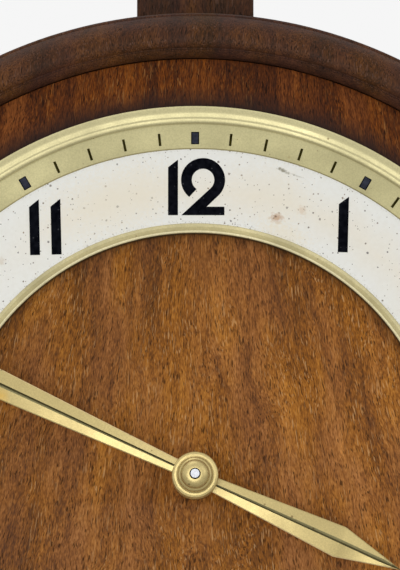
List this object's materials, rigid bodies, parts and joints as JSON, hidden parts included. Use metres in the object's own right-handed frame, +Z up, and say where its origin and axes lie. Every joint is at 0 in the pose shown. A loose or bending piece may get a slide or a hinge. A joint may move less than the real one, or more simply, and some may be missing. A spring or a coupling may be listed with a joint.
{
  "type": "banjo clock",
  "caption": "Wall clock with a round walnut head, brass and white dial ring, tapered throat and glazed pendulum box, with a working train, hands, pendulum and door",
  "frame": {"origin": "on the dial axis in the plane of the wall, on the back face of the backboard", "axes": "+Z up the wall, the dial faces -Y, +X to the right as seen from the front"},
  "size_m": [0.255, 0.103, 0.7038],
  "materials": {
    "walnut": "oiled, figured grain",
    "walnut_dark": "oiled, dark",
    "brass": "polished, slightly tarnished",
    "brass_matte": "matte track with a bright rolled edge",
    "white_enamel": "aged white paint",
    "steel": "bright",
    "glass": "clear"
  },
  "bodies": {
    "case": {"backboard": "walnut_dark", "hanger_plate": "steel", "head_hoop": "walnut", "dial_panel": "walnut", "finial_plinth": "walnut_dark", "finial": "brass", "throat_rail_left": "walnut_dark", "throat_rail_right": "walnut_dark", "throat_panel": "walnut", "box_side_left": "walnut", "box_side_right": "walnut", "box_top": "walnut", "box_bottom": "walnut", "side_arm_left": "brass", "side_arm_right": "brass", "hinge_upper_case_leaf": "brass", "hinge_lower_case_leaf": "brass", "minute_ring": "brass_matte", "chapter_ring": "white_enamel", "inner_rim": "brass", "front_plate": "brass", "back_plate": "brass", "pillar_1": "brass", "pillar_2": "brass", "pillar_3": "brass", "pillar_4": "brass", "suspension_cock": "brass", "click_spring": "steel"},
    "center": {"center_arbor": "steel", "center_wheel": "brass", "cannon_pinion": "steel", "minute_hand": "brass", "hand_nut": "brass"},
    "hour": {"hour_wheel": "brass", "hour_hand": "brass"},
    "minute_wheel": {"minute_wheel": "brass"},
    "second": {"second_arbor": "steel", "second_wheel": "brass"},
    "barrel": {"barrel": "brass", "barrel_cap": "brass", "mainspring": "steel"},
    "third": {"third_arbor": "steel", "third_wheel": "brass"},
    "escape": {"escape_arbor": "steel", "escape_wheel": "brass"},
    "winding": {"barrel_arbor": "steel", "ratchet_wheel": "steel"},
    "click": {"click": "steel"},
    "pallets": {"pallets": "steel", "crutch": "steel"},
    "pendulum": {"suspension_spring": "steel", "pendulum_rod": "brass"},
    "bob": {"pendulum_bob": "brass"},
    "rating_nut": {"rating_nut": "brass"},
    "door": {"door_frame": "walnut", "door_glass": "glass", "hinge_upper_door_leaf": "brass", "hinge_lower_door_leaf": "brass"},
    "latch": {"door_knob": "brass", "latch_cam": "steel"}
  },
  "joints": [
    {"name": "minute_turn", "type": "hinge", "parent": "case", "child": "center", "pos_m": [0, -0.05, 0], "axis": [0, 1, 0], "continuous": true},
    {"name": "hour_turn", "type": "hinge", "parent": "case", "child": "hour", "pos_m": [0, -0.05, 0], "axis": [0, 1, 0], "continuous": true},
    {"name": "minute_wheel_turn", "type": "hinge", "parent": "case", "child": "minute_wheel", "pos_m": [-0.01147, -0.05, -0.00803], "axis": [0, 1, 0], "continuous": true},
    {"name": "second_turn", "type": "hinge", "parent": "case", "child": "second", "pos_m": [0.01525, -0.05, -0.01444], "axis": [0, 1, 0], "continuous": true},
    {"name": "barrel_turn", "type": "hinge", "parent": "case", "child": "barrel", "pos_m": [0, -0.05, -0.042], "axis": [0, 1, 0], "continuous": true},
    {"name": "third_turn", "type": "hinge", "parent": "case", "child": "third", "pos_m": [-0.0095, -0.05, 0.01349], "axis": [0, 1, 0], "continuous": true},
    {"name": "escape_turn", "type": "hinge", "parent": "case", "child": "escape", "pos_m": [0, -0.05, 0.0251], "axis": [0, 1, 0], "continuous": true},
    {"name": "winding_turn", "type": "hinge", "parent": "case", "child": "winding", "pos_m": [0, -0.05, -0.042], "axis": [0, 1, 0], "range_deg": [0, 1980]},
    {"name": "click_lift", "type": "hinge", "parent": "case", "child": "click", "pos_m": [0.014, -0.068, -0.032], "axis": [0, -1, 0], "range_deg": [-8, 4], "stiffness_Nm_per_rad": 0.002},
    {"name": "pendulum_swing", "type": "hinge", "parent": "case", "child": "pendulum", "pos_m": [0, -0.023, 0.04136], "axis": [0, 1, 0], "range_deg": [-3, 3]},
    {"name": "pallet_rock", "type": "hinge", "parent": "case", "child": "pallets", "pos_m": [0, -0.05, 0.04136], "axis": [0, 1, 0], "range_deg": [-3.01, 3.01]},
    {"name": "bob_slide", "type": "slide", "parent": "pendulum", "child": "bob", "axis": [0, 0, 1], "range_m": [-0.004, 0.004]},
    {"name": "nut_turn", "type": "hinge", "parent": "bob", "child": "rating_nut", "pos_m": [0, -0.023, -0.44094], "axis": [0, 0, 1], "range_deg": [-2890, 2890]},
    {"name": "door_open", "type": "hinge", "parent": "case", "child": "door", "pos_m": [0.1254, -0.0717, -0.40044], "axis": [0, 0, 1], "range_deg": [0, 110]},
    {"name": "knob_turn", "type": "hinge", "parent": "door", "child": "latch", "pos_m": [-0.107, -0.0721, -0.40044], "axis": [0, -1, 0], "range_deg": [0, 90]}
  ],
  "couplings": [
    {"joint": "hour_turn", "follows": "minute_turn", "ratio": 0.083333},
    {"joint": "minute_wheel_turn", "follows": "minute_turn", "ratio": -0.33333},
    {"joint": "second_turn", "follows": "minute_turn", "ratio": -0.16667},
    {"joint": "barrel_turn", "follows": "minute_turn", "ratio": 0.027778},
    {"joint": "third_turn", "follows": "minute_turn", "ratio": -10},
    {"joint": "escape_turn", "follows": "minute_turn", "ratio": 90},
    {"joint": "pallet_rock", "follows": "pendulum_swing", "ratio": 1},
    {"joint": "nut_turn", "follows": "bob_slide", "rad_per_m": 12566}
  ]
}
